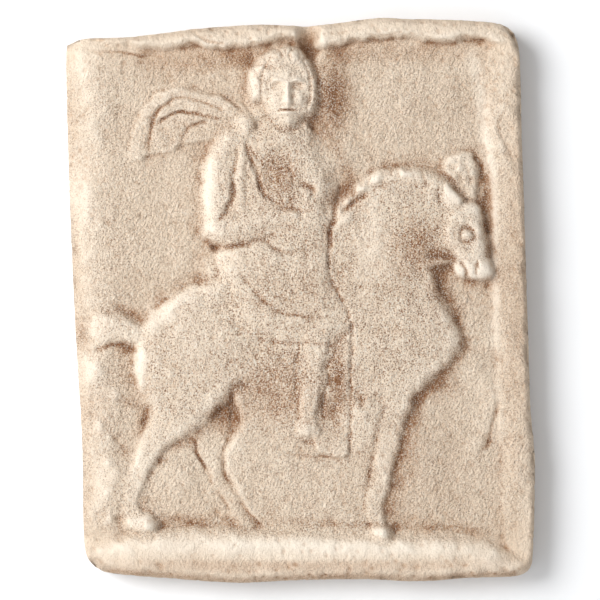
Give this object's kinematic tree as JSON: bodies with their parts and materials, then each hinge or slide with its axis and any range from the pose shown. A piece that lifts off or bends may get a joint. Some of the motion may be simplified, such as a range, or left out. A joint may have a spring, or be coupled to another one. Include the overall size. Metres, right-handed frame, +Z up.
{
  "type": "relief wall plaque",
  "caption": "Upright cast plaque with a low relief of a cloaked rider on a walking horse, raised worn rims, a ground ledge and a flat back that goes against a wall.",
  "frame": {"origin": "middle of the flat back, on the wall plane", "axes": "+X to the right as seen from the front, +Y into the wall, +Z up; the relief faces -Y"},
  "size_m": [0.1753, 0.0199, 0.211],
  "materials": {
    "cast_stone": "cream sand-faced cast stone, matt, with a brown wash in the hollows and dark sand specks"
  },
  "bodies": {
    "root": {"relief_plaque": "cast_stone"}
  },
  "joints": []
}
